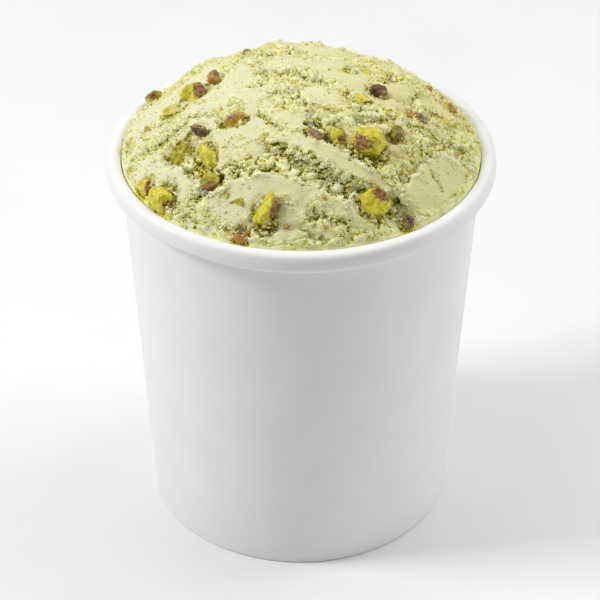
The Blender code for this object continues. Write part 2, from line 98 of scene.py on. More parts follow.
# Noise over the surface: height, cell size and seed of each layer.
RAGGED_NOISE = ((0.6, 2.6, 3), (0.35, 1.2, 4))
PATCH_NOISE = ((1.0, 3.8, 5), (0.7, 1.7, 6))
SWAY_NOISE = ((0.45, 9.0, 1), (0.32, 3.6, 2))

# A fold is the torn edge of a scoop stroke: the surface drops on its right-hand side
# into a hollow of that width. Crumbs says how rough that hollow is, from 0 to 1.
Fold = namedtuple("Fold", "drop width crumbs points")
FOLDS = [Fold(*row) for row in (
    (1.2, 3.5, 0.7, ((-13, 8), (-4, 6.8), (2, 4.3), (9.5, -0.3))),
    (1.5, 4.0, 0.9, ((-9, -1.5), (-4, -2.6), (0.5, -6), (3.5, -10.5))),
    (0.8, 3.0, 0.5, ((-14, -9.5), (-9, -12), (-5, -15.5), (-3, -19))),
    (2.0, 5.0, 1.0, ((1, -20), (0.8, -16), (0.5, -12), (1.5, -8.5))),
    (2.2, 6.0, 1.0, ((-10, -20.3), (-3, -22.6), (4, -26.2), (11, -29.3), (19.5, -30.3))),
    (1.8, 4.0, 1.0, ((19, -28.8), (12, -26.3), (6, -23), (0.5, -20.3))),
    (2.4, 5.0, 1.0, ((17.5, -38.5), (8, -35.2), (0, -32.5), (-8, -30.6), (-16, -30.4),
                     (-23, -32), (-26, -35.5))),
    (0.8, 3.0, 0.0, ((-11, -39.5), (-4, -38.8), (2, -40.2), (6, -42))),
    (0.9, 2.5, 0.6, ((1, -36), (6, -37.6), (13, -38.6))),
    (2.2, 5.0, 1.0, ((-20.5, -30.5), (-24.5, -28), (-29, -23), (-33, -17), (-36.5, -12.5))),
    (1.2, 3.0, 0.6, ((-42, -6.5), (-37, -9), (-32, -9.3), (-27, -7))),
    (0.9, 3.0, 0.7, ((-31, -3.5), (-26, -5.5), (-21, -6.8), (-17, -8))),
    (0.7, 3.0, 0.6, ((-39, 0.5), (-33, -1), (-27, 0.5), (-22, -1.5))),
    (1.8, 3.0, 0.9, ((42.5, -15), (38.5, -12.8), (34.5, -14.2), (29.5, -20.5),
                     (25.5, -28), (23, -35))),
    (2.0, 3.5, 0.9, ((43, 2.5), (38, -0.3), (33, -3.5), (28.5, -6.5), (24.5, -6.2))),
    (0.9, 3.0, 0.7, ((2.5, -9.5), (8, -9.8), (14, -8.6), (20, -7.6))),
    (2.0, 5.0, 1.0, ((10.5, -17), (11.5, -13.2), (16, -11), (21.5, -10))),
    (1.2, 7.0, 0.8, ((24, -8.5), (30, -8), (37, -6), (44, -3.5))),
    (1.6, 4.0, 0.8, ((16, 14), (6, 12.5), (-4, 14), (-13, 12.5), (-20, 14.5))),
    (1.8, 5.0, 0.8, ((30, 14), (22, 21), (10, 25), (-4, 25.5))),
    (1.6, 4.0, 0.8, ((-8, 23), (-18, 22.5), (-27, 17), (-33, 9.5))),
    (1.6, 5.0, 0.7, ((6, 36), (-8, 35), (-20, 31.5), (-30, 26))),
    (1.4, 4.0, 0.7, ((40, 8), (36, 16), (29, 24), (19, 31))),
)]

Pit = namedtuple("Pit", "x y along across turn depth")
PITS = [Pit(*row) for row in (
    (-29, -17, 4.8, 3.6, -30, 2.4),
    (-24.5, -23, 2.6, 1.8, -40, 1.4),
    (6, -20.5, 4.2, 2.4, -25, 1.8),
    (21.5, -16, 2.6, 1.8, 60, 1.4),
    (22, -32.5, 3.2, 2.8, 60, 2.6),
    (24.5, -24.5, 3.0, 1.6, 60, 1.8),
    (-43.2, -2, 4.5, 2.6, 95, 2.0),
    (32.5, -21.7, 2.6, 0.9, -52, 1.0),
    (27.2, 0.6, 3.2, 1.2, 85, 1.4),
    (-26.5, -34.5, 3.4, 2.2, -50, 1.6),
)]

Swell = namedtuple("Swell", "x y radius height")
SWELLS = [Swell(*row) for row in (
    (-6, 22, 11, 2.0),
    (-22, 21, 10, 1.4),
    (14, 21, 7, -1.6),
    (30, 12, 10, 0.6),
    (-8, -34, 9, 0.8),
    (27, -15, 6, 1.2),
    (-2, -35.5, 4, 0.6),
)]

# Everywhere else the heap is torn in patches, apart from the stretches that a scoop left
# smooth: middle, half-lengths along and across, and the turn, along which it is streaked.
Patch = namedtuple("Patch", "x y along across turn")
SMOOTHS = [Patch(*row) for row in (
    (-9.5, -15.2, 11, 4.4, -8), (0.5, -22.0, 5.5, 2.3, -30),
    (8, -25.8, 6, 2.3, -25), (15, -28.6, 5, 1.5, -12),
    (-17, -34.4, 7, 2.2, -22), (-7, -32.3, 9, 2.1, -3), (-0.5, -34.4, 4.5, 2.2, -15),
    (-4.5, -40.6, 5.5, 3.0, -5), (8, -36.6, 5.5, 1.3, -28),
    (-32, -21.5, 12, 2.9, -52), (-24, -28.6, 4, 2.4, -45),
    (-33.5, -11.2, 7, 2.4, -5), (-34.5, 7, 4.2, 10, 0), (-27, 13, 3, 3, 0),
    (-33, -1.5, 7, 3, 20), (-15, 5.0, 5.4, 5.6, 0), (-12, -2.5, 8, 2.4, -8),
    (-4, 10.2, 6, 2.2, 0), (6, 6.6, 7, 3.8, -28), (13, 2.4, 3.4, 4.4, 20),
    (4.6, -4.8, 5.5, 3.4, -35), (15, -3.6, 4.4, 2.6, -10), (24, 4, 4, 3.4, 30),
    (33.2, -23.4, 11, 5.6, 54), (16, -11.5, 6, 1.6, 5), (30, -10.5, 6, 1.6, 15),
    (24, -36.5, 3.5, 2, 10), (32, 6, 5, 1.6, 48), (-12, 31, 9, 3, 10),
    (14, 30, 8, 3, -20), (29, 24, 6, 3, -45), (-30, 28, 5, 3, 50),
    (2, 22, 8, 2.6, -5), (37, 8, 4, 1.8, 70), (-2, 38, 9, 2.4, 0),
)]
PATCH_TORN = 0.36  # how torn the rest is on average
TORN_RIGHT = 0.12  # how much more so at the right-hand edge, and less at the left
TORN_DEPTH = 0.4  # how far torn stretches lie below smooth ones
STREAK_HEIGHT = 0.16  # of the scoop's streaks along smooth ones
STREAK_WIDTH = 0.9
STREAK_STRETCH = 9  # how many times longer than wide they are
SMOOTH_BUMPS = 0.05  # height of the finest bumps where smooth
TORN_GRIT = 0.05  # and where torn
SMOOTH_EDGE = 1.15  # longest edge of the surface's triangles where smooth
TORN_EDGE = 0.5  # and where torn
WALL_BAND = 2.2  # how far from the wall the edge of the heap is torn
WALL_LIFT = 0.7  # how far its crumbs there are piled up the wall

# Crumbly lumps: cell size and height, the power of torn that scales them, and a seed.
Lump = namedtuple("Lump", "cell height power seed")
LUMPS = [Lump(*row) for row in (
    (3.2, 1.5, 1.3, 11),
    (1.7, 1.4, 1.0, 12),
    (0.95, 0.85, 0.8, 13),
    (0.6, 0.4, 0.7, 14),
)]
COARSE_SHIFT = 0.75  # how far the lumps are shifted about
FINE_SHIFT = 0.22  # and how far their outlines are

# What colours the torn surface, as painted shade in its crevices and painted light where it
# stands out: how far it stands out from itself after so many rounds of smoothing, and the
# height that counts as 1.
SHADE_AND_LIGHT_SCALES = ((2, 0.3), (6, 0.5), (40, 1.3), (160, 2.2))

# Crumbs lying on the torn surface, with their smallest and largest size.
CLUMPS = 520
CLUMP_SIZES = (0.6, 1.4)
CLUMP_GRAINS = 30  # stuck on each clump
CLUMP_GRAIN_SIZES = (0.22, 0.5)
LOOSE_GRAINS = 22000
LOOSE_GRAIN_SIZES = (0.25, 0.65)
FINE_GRAINS = 24000
FINE_GRAIN_SIZES = (0.2, 0.44)
GRAIN_JAG = 0.5  # how uneven their shapes are
GRAIN_TONES = 0.2  # how much they differ in tone
# Grains take the painted shade and light of the surface under them.
GRAIN_GROUND = 0.9  # how much of the tone of the surface under them they take
# Painted light: grains are painted paler on top and darker underneath, by how light falls on them.
GRAIN_TOP_PAINTED_LIGHT = 0.35  # how much paler their tops are
GRAIN_ON_SMOOTH = 0.35  # how much paler they are where the surface is smooth

# Tones of the ice cream. The smooth ones are those at the left, paler as painted light where the
# key light falls, and at the right, more saturated as painted shade; the torn ones run from the
# crevices at 0 to the tips at 1.
SMOOTH_LIT_TO_SHADED_TONES = ((231, 228, 185), (222, 216, 149))
# Torn tones: crevices painted darker olive as painted shade, tips painted paler as painted light
# along with the frost's own paleness.
TORN_SHADE_AND_LIGHT_TONES = (
    (0.0, (116, 100, 0)), (0.2, (186, 172, 0)), (0.36, (230, 220, 56)),
    (0.52, (243, 237, 128)), (0.75, (249, 246, 178)), (1.0, (251, 249, 208)),
)
FROST_TONE = (250, 248, 222)
FLECK_TONE = (192, 182, 84)
SOFT_DEPTH = 1.0  # how deep light goes in
SOFT_TINT = (1.0, 0.85, 0.25)

# ---- pistachios, in mm ----

# A kind of nut piece: two tones of its meat, two of its skin, and how rough it is.
Kind = namedtuple("Kind", "meat skin rough")
KINDS = {
    "green": Kind(((140, 132, 4), (216, 200, 48)), ((104, 70, 34), (166, 120, 66)), 1.0),
    "lime": Kind(((196, 182, 6), (240, 226, 84)), ((110, 72, 36), (178, 128, 74)), 1.0),
    "yellow": Kind(((216, 198, 66), (234, 220, 122)), ((176, 118, 36), (212, 162, 70)), 1.2),
    "amber": Kind(((198, 148, 26), (224, 184, 64)), ((170, 116, 62), (206, 162, 112)), 1.3),
    "brown": Kind(((176, 120, 44), (210, 162, 86)), ((108, 82, 56), (160, 128, 94)), 2.2),
    # The dark kind is partly the nut's own darker olive and partly painted shade, for pieces that
    # sit in shaded hollows.
    "dark_and_shaded": Kind(((112, 98, 18), (150, 136, 44)), ((56, 40, 24), (106, 78, 50)), 1.2),
    "husk": Kind(((66, 40, 12), (112, 76, 36)), ((122, 92, 56), (174, 142, 98)), 1.6),
}

# Each pistachio node in turn: its kind, the azimuth and elevation that its skin faces,
# the share of it that skin covers, and how crisp its edges are.
Nut = namedtuple("Nut", "kind azimuth elevation skin crisp")
NUTS = [Nut(*row) for row in (
    ("green", -137, 47, 0.14, 40), ("lime", -25, 30, 0.28, 30),
    ("brown", 60, 30, 0.3, 24), ("yellow", 90, 0, 0.0, 40),
    ("amber", 150, 60, 0.36, 30), ("husk", 100, 66, 0.3, 40),
    ("green", -10, 10, 0.06, 60), ("lime", 90, 0, 0.03, 20),
    ("green", -92, -10, 0.16, 30), ("lime", -25, 20, 0.3, 40),
    ("lime", -58, 4, 0.08, 16), ("lime", -8, -12, 0.27, 50),
    ("brown", 90, 76, 0.28, 30), ("husk", 150, 60, 0.4, 24),
    ("lime", -56, 2, 0.14, 40), ("lime", -122, 16, 0.1, 20),
    ("dark_and_shaded", 60, 60, 0.05, 30), ("lime", 14, 52, 0.22, 70),
    ("dark_and_shaded", -30, 54, 0.16, 30), ("husk", -60, 0, 0.16, 24),
    ("lime", -90, 36, 0.04, 30), ("brown", 0, 30, 0.3, 30),
    ("yellow", 90, 0, 0.03, 30), ("yellow", -20, 20, 0.28, 30),
)]
NUT_NODES = [f"pistachio_{number:02d}" for number in range(1, len(NUTS) + 1)]
NUT_DETAIL = 5  # subdivisions of the ball that a nut is shaped from
NUT_CUTS = 8  # small flat cuts on each, besides the CAD node's own
NUT_CUT_REACH = (0.66, 0.9)  # how far out they lie, as a share of the nut's own reach
NUT_WRINKLES = ((0.4, 2.4), (0.26, 1.0), (0.1, 0.4))  # height and cell size of each
NUT_RING = 1.0  # how far from a nut the ice cream is torn
NUT_SOCKET = 0.8  # how deep it is sunk there
# Painted shade: the ice cream's crevices round each nut are painted darker.
NUT_PAINTED_SHADE = 0.8  # how much darker its crevices are there
NUT_CRUMBS = 70  # crumbs of ice cream stuck on each nut's foot
NUT_CRUMB_SIZES = (0.25, 0.9)
NUT_PIT_TONE = (112, 96, 0)
NUT_FROST_TONE = (228, 218, 140)

# Smaller bits that lie in the surface: place, length and kind.
Bit = namedtuple("Bit", "x y size kind")
BITS = [Bit(*row) for row in (
    (-37.3, -1.2, 4.4, "amber"), (-15.1, -34.9, 3.8, "green"),
    (24.0, -23.8, 3.8, "lime"), (24.8, -16.8, 2.0, "amber"), (8.3, -29.5, 4.4, "brown"),
    (15.5, 9.4, 3.4, "lime"), (21.4, 8.7, 3.6, "dark_and_shaded"), (31.7, 13.7, 3.0, "brown"),
    (40.2, 12.8, 3.0, "amber"), (37.8, -10.5, 3.8, "brown"), (40.2, -14.7, 2.2, "amber"),
    (-13.4, 20.5, 2.8, "dark_and_shaded"), (5.5, -35.7, 1.9, "amber"), (5.9, -40.7, 1.9, "amber"),
    (9.0, -41.0, 2.6, "green"), (4.6, -42.2, 3.0, "dark_and_shaded"), (-9.4, 6.7, 2.2, "lime"),
    (-2.3, 3.1, 2.8, "green"), (7.6, 6.9, 1.7, "amber"), (28.0, 4.7, 2.2, "dark_and_shaded"),
    (-3.7, -40.1, 1.8, "amber"), (15.8, 1.0, 1.9, "amber"), (-15.6, -20.2, 2.2, "amber"),
    (20.8, -1.6, 1.6, "amber"), (17.4, 6.1, 1.7, "lime"), (26.4, 0.3, 3.0, "dark_and_shaded"),
    (-19.2, -7.5, 1.8, "amber"), (-17.5, -32.4, 2.2, "lime"), (-42.0, 1.2, 2.6, "amber"),
    (0.4, -13.3, 2.2, "green"), (2.0, 31.0, 3.0, "green"), (-26.0, 29.0, 2.8, "lime"),
    (20.0, 36.0, 2.8, "amber"), (12.0, 20.0, 2.6, "brown"),
)]
BIT_GROWTH = 1.15  # they are drawn larger by this, as they lie deep
BIT_SINK = 0.72  # share of each that lies under the surface
BIT_CUTS = 7
FLECKS = 220  # tiny ones at random
FLECK_SIZE = 0.45  # of the smallest
FLECK_SPREAD = 0.9  # how much larger the largest are
FLECK_SHARES = (0.3, 0.2, 0.06, 0.28, 0.08, 0.04, 0.04)  # of each kind


# ---- materials ----


def linear_colour(tone):
    """Linear colour, with alpha, from the sRGB values of a tone, 0 to 255."""
    shares = [value / 255 for value in tone]
    return *(share / 12.92 if share <= 0.04045 else ((share + 0.055) / 1.055) ** 2.4
             for share in shares), 1.0


class Nodes:
    """A material's node tree, with short calls for the nodes used here."""

    def __init__(self, name, roughness, specular):
        self.material = bpy.data.materials.new(name)
        self.material.use_nodes = True
        self.tree = self.material.node_tree
        self.shader = self.tree.nodes["Principled BSDF"]
        self.shader.inputs["Roughness"].default_value = roughness
        self.shader.inputs["Specular IOR Level"].default_value = specular
        self.place = self.tree.nodes.new("ShaderNodeTexCoord").outputs["Object"]

    def add(self, kind, output, sockets, **settings):
        """A new node's output, with values or other outputs put on the node's sockets."""
        node = self.tree.nodes.new("ShaderNode" + kind)
        for name, value in settings.items():
            setattr(node, name, value)
        for name, value in sockets.items():
            if isinstance(value, bpy.types.NodeSocket):
                self.tree.links.new(value, node.inputs[name])
            else:
                node.inputs[name].default_value = value
        return node.outputs[output]

    def attribute(self, name):
        return self.add("Attribute", "Fac", {}, attribute_name=name)

    def noise(self, cell_mm, detail, roughness=0.55, stretch=(1, 1, 1)):
        place = self.add("Mapping", "Vector", {"Vector": self.place, "Scale": stretch})
        return self.add("TexNoise", "Fac", {"Vector": place, "Scale": 1 / (cell_mm * MM),
                                            "Detail": detail, "Roughness": roughness})

    def across(self):
        """How far to the right a point lies, in metres."""
        return self.add("SeparateXYZ", "X", {"Vector": self.place})

    def span(self, value, low, high, to_low=0.0, to_high=1.0):
        """A value's smooth way from low to high, as a number between two others."""
        sockets = {"Value": value, "From Min": low, "From Max": high,
                   "To Min": to_low, "To Max": to_high}
        return self.add("MapRange", "Result", sockets, interpolation_type="SMOOTHSTEP")

    def math(self, operation, a, b):
        return self.add("Math", "Value", {0: a, 1: b}, operation=operation)

    def mix(self, share, low, high):
        """Between two colours, each a tone or another node's output."""
        low, high = (linear_colour(colour) if isinstance(colour, tuple) else colour
                     for colour in (low, high))
        return self.add("Mix", "Result", {"Factor": share, "A": low, "B": high},
                        data_type="RGBA")

    def ramp(self, value, stops):
        """A colour from a value, through tones at spots from 0 to 1."""
        node = self.tree.nodes.new("ShaderNodeValToRGB")
        elements = node.color_ramp.elements
        for spot, tone in stops[1:-1]:
            elements.new(spot).color = linear_colour(tone)
        for element, (_, tone) in ((elements[0], stops[0]), (elements[-1], stops[-1])):
            element.color = linear_colour(tone)
        self.tree.links.new(value, node.inputs["Fac"])
        return node.outputs["Color"]

    def bump(self, height, strength, depth_mm, before=None):
        sockets = {"Height": height, "Strength": strength, "Distance": depth_mm * MM}
        if before:
            sockets["Normal"] = before
        return self.add("Bump", "Normal", sockets)

    def finish(self, colour, normal=None, roughness=None):
        for name, output in (("Base Color", colour), ("Normal", normal), ("Roughness", roughness)):
            if output:
                self.tree.links.new(output, self.shader.inputs[name])
        return self.material


def ice_cream_material(name, softness, gloss):
    """Smooth and pale where scooped, with painted light at the left and painted shade at the
    right; where torn, frosty and painted paler as painted light on top, and painted olive as
    painted shade in its crevices.
    """
    nodes = Nodes(name, 0.5, gloss)
    nodes.shader.inputs["Subsurface Weight"].default_value = softness
    nodes.shader.inputs["Subsurface Radius"].default_value = SOFT_TINT
    nodes.shader.inputs["Subsurface Scale"].default_value = SOFT_DEPTH * MM
    torn, relief = nodes.attribute("torn"), nodes.attribute("relief")
    across = nodes.math("ADD", nodes.across(), nodes.span(nodes.noise(9, 2), 0, 1, -0.012, 0.012))
    # Painted light and shade: smooth tones paler at the lit left, more saturated at the shaded
    # right.
    smooth = nodes.mix(nodes.span(across, -0.034, 0.05), *SMOOTH_LIT_TO_SHADED_TONES)
    frost = nodes.span(nodes.noise(0.45, 3, 0.7), 0.35, 0.65, 0.0, 0.2)
    smooth = nodes.mix(frost, smooth, FROST_TONE)
    mottle = nodes.span(nodes.noise(0.42, 3, 0.7), 0.3, 0.7, -0.32, 0.32)
    relief = nodes.math("ADD", relief, mottle)
    # Painted shade in the crevices and painted light on the tips of the torn surface.
    crumbly_shade_and_light = nodes.ramp(nodes.span(relief, -1, 1), TORN_SHADE_AND_LIGHT_TONES)
    colour = nodes.mix(nodes.span(torn, 0.14, 0.75), smooth, crumbly_shade_and_light)
    flecks = nodes.span(nodes.noise(0.9, 2), 0.68, 0.74)
    colour = nodes.mix(nodes.math("MULTIPLY", flecks, 0.25), colour, FLECK_TONE)
    grain = nodes.bump(nodes.noise(0.45, 2, 0.6), 0.8, 0.3)
    rough = nodes.math("MULTIPLY", nodes.noise(0.7, 4, 0.75), nodes.span(torn, 0, 0.5, 0.8, 1.6))
    fine = nodes.bump(rough, 0.5, 0.22, grain)
    streaks = nodes.bump(nodes.noise(0.7, 3, 0.5, (0.35, 1.2, 1)), 0.25, 0.1, fine)
    return nodes.finish(colour, streaks, nodes.span(torn, 0, 1, 0.45, 0.5))


def nut_material(name, kind):
    """Cut nut meat, and its skin where the skin attribute says so."""
    nodes = Nodes("pistachio_" + name, 0.26, 0.5)
    meat = nodes.mix(nodes.span(nodes.noise(1.2, 5, 0.65), 0.36, 0.64), *kind.meat)
    skin = nodes.mix(nodes.span(nodes.noise(0.9, 4, 0.65), 0.4, 0.6), *kind.skin)
    edge = nodes.math("ADD", nodes.attribute("skin"),
                      nodes.span(nodes.noise(1.1, 5, 0.7), 0.2, 0.8, -0.24, 0.24))
    colour = nodes.mix(nodes.span(edge, 0.44, 0.56), meat, skin)
    pits = nodes.span(nodes.noise(0.8, 4, 0.65), 0.5, 0.72, 0.0, 0.45)
    colour = nodes.mix(pits, colour, NUT_PIT_TONE)
    frost = nodes.span(nodes.noise(0.45, 4, 0.75), 0.58, 0.68, 0.0, 0.4)
    colour = nodes.mix(frost, colour, NUT_FROST_TONE)
    coarse = nodes.bump(nodes.noise(1.1, 3, 0.6), 0.5, 0.35)
    return nodes.finish(colour, nodes.bump(nodes.noise(0.5, 4, 0.7), 0.7, 0.25, coarse))


def paper_material(name, tone):
    """Coated board: very even, with a faint cloud and the slightest tooth."""
    nodes = Nodes(name, 0.42, 0.35)
    cloud = nodes.span(nodes.noise(14, 3), 0.3, 0.7)
    colour = nodes.mix(cloud, (tone, tone, tone - 1), (tone + 3, tone + 3, tone + 2))
    fibres = nodes.bump(nodes.noise(0.9, 5, 0.6, (1, 1, 0.4)), 0.05, 0.05)
    slow = nodes.bump(nodes.noise(24, 2, 0.4), 0.08, 0.4, fibres)
    return nodes.finish(colour, slow)


def floor_material():
    nodes = Nodes("pale_floor", 0.7, 0.2)
    colour = nodes.mix(nodes.span(nodes.noise(60, 2), 0.3, 0.7), *FLOOR_TONES)
    return nodes.finish(colour)


# ---- meshes ----


def add_object(name, data):
    thing = bpy.data.objects.new(name, data)
    bpy.context.scene.collection.objects.link(thing)
    return thing


def take_apart(work):
    """Points and faces of a bmesh, which is freed."""
    points = np.array([vertex.co[:] for vertex in work.verts])
    faces = np.array([[vertex.index for vertex in face.verts] for face in work.faces])
    work.free()
    return points, faces


def joined(shapes):
    """Points and faces of several shapes as one."""
    starts = np.cumsum([0] + [len(shape[0]) for shape in shapes])
    faces = [shape[1] + start for shape, start in zip(shapes, starts)]
    return np.concatenate([shape[0] for shape in shapes]), np.concatenate(faces)


def make_piece(name, points, faces, material, sharp_deg):
    """A smooth-shaded mesh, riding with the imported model, from points in mm and faces,
    which are an array where they are alike."""
    mesh = bpy.data.meshes.new(name)
    points = np.asarray(points, float) * MM
    if isinstance(faces, np.ndarray):
        count, corners = faces.shape
        mesh.vertices.add(len(points))
        mesh.vertices.foreach_set("co", points.ravel())
        mesh.loops.add(count * corners)
        mesh.loops.foreach_set("vertex_index", faces.ravel().astype(np.int32))
        mesh.polygons.add(count)
        mesh.polygons.foreach_set("loop_start", np.arange(0, count * corners, corners))
        mesh.update(calc_edges=True)
    else:
        mesh.from_pydata([tuple(point) for point in points], [], faces)
    mesh.shade_smooth()
    mesh.set_sharp_from_angle(angle=math.radians(sharp_deg))
    mesh.materials.append(material)
    piece = add_object(name, mesh)
    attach(piece, "root")
    return piece


def add_values(piece, name, values):
    """A number for each point of a piece, for its material to read."""
    layer = piece.data.attributes.new(name, "FLOAT", "POINT")
    layer.data.foreach_set("value", np.asarray(values, np.float32))


# ---- the tub ----


def wall_radius(height):
    """The wall's outer radius."""
    return FOOT_RADIUS + (TOP_RADIUS - FOOT_RADIUS) * height / TUB_HEIGHT


def turn_angles():
    """Even steps, and the two sides of the glued seam at the back."""
    left, right = BACK - HALF_SEAM, BACK + HALF_SEAM
    even = [2 * math.pi * step / TURN_STEPS for step in range(TURN_STEPS)]
    even = [angle for angle in even if abs(abs(angle - BACK) - HALF_SEAM) > 2 * SEAM_EDGE]
    return sorted([left - SEAM_EDGE, left, right, right + SEAM_EDGE] + even)


def turn(name, outline, material, closed=True, wobble=None):
    """Turn an outline of (radius, height, seam step) about Z, as the part does."""
    angles = turn_angles()
    rows = outline if closed else outline[1:-1]
    count, turns = len(rows), len(angles)
    points, faces = [], []
    for angle in angles:
        seam = abs(angle - BACK) < HALF_SEAM + SEAM_EDGE / 3
        for radius, height, step in rows:
            reach = radius + (step if seam else 0.0)
            lift = 0.0
            if wobble:
                reach, lift = wobble(reach, height, angle)
            points.append((reach * math.cos(angle), reach * math.sin(angle), height + lift))
    for i in range(turns):
        here, there = i * count, (i + 1) % turns * count
        for j in range(count if closed else count - 1):
            k = (j + 1) % count
            faces.append((here + j, here + k, there + k, there + j))
    if not closed:
        for row, end in ((0, outline[0]), (count - 1, outline[-1])):
            points.append((0.0, 0.0, end[1]))
            tip = len(points) - 1
            faces += [(tip, i * count + row, (i + 1) % turns * count + row) for i in range(turns)]
    piece = make_piece(name, points, faces, material, 40)
    work = bmesh.new()
    work.from_mesh(piece.data)
    bmesh.ops.recalc_face_normals(work, faces=work.faces)
    work.to_mesh(piece.data)
    work.free()
    return piece


def rim_bead():
    """The rolled rim's section, from its inner side over the top to the wall."""
    inner = wall_radius(TUB_HEIGHT) - BOARD
    half_width = (RIM_RADIUS - inner) / 2
    half_height = RIM_HEIGHT / 2
    power = 2 / RIM_SQUARENESS
    section = []
    for degrees in range(180, -121, -RIM_STEP):
        c, s = math.cos(math.radians(degrees)), math.sin(math.radians(degrees))
        radius = RIM_RADIUS - half_width + half_width * math.copysign(abs(c) ** power, c)
        height = TUB_HEIGHT - half_height + half_height * math.copysign(abs(s) ** power, s)
        section.append((radius, height, 0.0))
    crease = TUB_HEIGHT - RIM_HEIGHT + 0.9
    section.append((wall_radius(crease), crease, SEAM_STEP))
    return section


def make_wall(material):
    """The wall: its rim, outer side, hem at the foot and inner side, in that order."""
    hem_inner = wall_radius(0) - 3 * BOARD - 2 * GAP - BOARD / 2
    hem_lean = (TOP_RADIUS - FOOT_RADIUS) / TUB_HEIGHT * HEM_HEIGHT
    outline = rim_bead()
    outline += [(wall_radius(height), height, SEAM_STEP) for height in range(92, 1, -6)]
    outline += [
        (wall_radius(0.6), 0.6, SEAM_STEP),
        (wall_radius(0) - 0.08, 0.22, 0.15),
        (wall_radius(0) - 0.35, 0.0, 0.0),
        (hem_inner + 0.3, 0.0, 0.0),
        (hem_inner + 0.06, 0.12, 0.0),
        (hem_inner, 0.35, 0.0),
        (hem_inner + hem_lean, HEM_HEIGHT, 0.0),
        (hem_inner + hem_lean + BOARD, HEM_HEIGHT, 0.0),
        (hem_inner + BOARD, BOARD, 0.0),
        (wall_radius(BOARD) - BOARD, BOARD, 0.0),
    ]
    outline += [(wall_radius(height) - BOARD, height, 0.0) for height in (20, 40, 60, 80, 96)]

    def wobble(radius, height, angle):
        """The rolled rim is not perfectly even."""
        if height < TUB_HEIGHT - RIM_HEIGHT or radius < wall_radius(height) + 0.4:
            return radius, 0.0
        wave = math.sin(5 * angle + 1.0) + 0.6 * math.sin(11 * angle) + 0.4 * math.sin(23 * angle)
        return radius - 0.05 - 0.04 * wave, -0.05 * (1 + wave / 2)

    return turn("paper_wall", outline, material, wobble=wobble)


def make_base(material):
    """The raised disc and its flange inside the hem."""
    foot = BOARD + GAP

    def flange(height):
        return wall_radius(height) - BOARD - GAP

    outline = [
        (0, BASE_TOP, 0),
        (20, BASE_TOP, 0),
        (flange(BASE_TOP) - 0.6, BASE_TOP, 0),
        (flange(BASE_TOP) - 0.15, BASE_TOP - 0.2, 0),
        (flange(BASE_TOP), BASE_TOP - 0.6, 0),
        (flange(foot), foot, 0),
        (flange(foot) - BOARD, foot, 0),
        (flange(BASE_TOP) - BOARD, BASE_TOP - BOARD - 0.4, 0),
        (flange(BASE_TOP) - BOARD - 0.4, BASE_TOP - BOARD, 0),
        (20, BASE_TOP - BOARD, 0),
        (0, BASE_TOP - BOARD, 0),
    ]
    return turn("paper_base", outline, material, closed=False)


# ---- noise ----

LATTICE = 64  # cells after which the noise repeats
CELL_DRAWS = 4096  # different cells in the cell noise


def smooth_step(value):
    value = np.clip(value, 0, 1)
    return value * value * (3 - 2 * value)


def lattice_noise(x, y, cell, seed):
    """Smooth bumps from -1 to 1, each about one cell wide, as in the part."""
    table = np.random.default_rng(seed).uniform(-1, 1, (LATTICE, LATTICE))
    column, row = np.floor(x / cell).astype(int), np.floor(y / cell).astype(int)
    across, along = smooth_step(x / cell - column), smooth_step(y / cell - row)

    def value(right, up):
        return table[(column + right) % LATTICE, (row + up) % LATTICE]

    low = value(0, 0) * (1 - across) + value(1, 0) * across
    high = value(0, 1) * (1 - across) + value(1, 1) * across
    return low * (1 - along) + high * along


def layered_noise(x, y, layers):
    """The sum of several noises, each with its weight, cell and seed."""
    return sum(weight * lattice_noise(x, y, cell, seed) for weight, cell, seed in layers)


def cell_noise(points, cell, seed):
    """Distance to the nearest of scattered cell middles, and that cell's own number."""
    table = np.random.default_rng(seed).uniform(0, 1, (CELL_DRAWS, 4))
    spot = points / cell
    home = np.floor(spot).astype(int)
    first = np.full(len(points), np.inf)
    number = np.zeros(len(points))
    for step in product((-1, 0, 1), repeat=3):
        near = home + step
        key = (near @ (73, 179, 283)) % CELL_DRAWS
        distance = np.linalg.norm(near + table[key, :3] - spot, axis=1)
        closer = distance < first
        number = np.where(closer, table[key, 3], number)
        first = np.where(closer, distance, first)
    return first, number


# ---- the heap's surface ----


def smooth_path(points, steps=8):
    """Points along a Catmull-Rom curve through the given ones."""
    knots = np.array([points[0], *points, points[-1]], float)
    path = []
    for a, b, c, d in zip(knots, knots[1:], knots[2:], knots[3:]):
        for t in np.arange(steps) / steps:
            path.append(0.5 * (2 * b + (c - a) * t + (2 * a - 5 * b + 4 * c - d) * t ** 2
                               + (3 * b - a - 3 * c + d) * t ** 3))
    path.append(knots[-1])
    return np.array(path)


def side_of(path, x, y):
    """Signed distance to a path, positive on its right, and the share of its length."""
    best = np.full(x.shape, np.inf)
    side, share = np.zeros(x.shape), np.zeros(x.shape)
    lengths = np.hypot(*np.diff(path, axis=0).T)
    total, run = lengths.sum(), 0.0
    for (ax, ay), (bx, by), length in zip(path, path[1:], lengths):
        ux, uy = (bx - ax) / length, (by - ay) / length
        along = np.clip((x - ax) * ux + (y - ay) * uy, 0, length)
        dx, dy = x - ax - along * ux, y - ay - along * uy
        distance = np.hypot(dx, dy)
        nearer = distance < best
        best = np.where(nearer, distance, best)
        side = np.where(nearer, np.where(uy * dx - ux * dy >= 0, distance, -distance), side)
        share = np.where(nearer, (run + along) / total, share)
        run += length
    return side, share


def turned(oval, x, y):
    """(x, y) along and across an oval."""
    c, s = math.cos(math.radians(oval.turn)), math.sin(math.radians(oval.turn))
    dx, dy = x - oval.x, y - oval.y
    return c * dx + s * dy, c * dy - s * dx


def spread_in(oval, x, y):
    """How far (x, y) lies from an oval's middle: 1 on its edge."""
    along, across = turned(oval, x, y)
    return np.hypot(along / oval.along, across / oval.across)


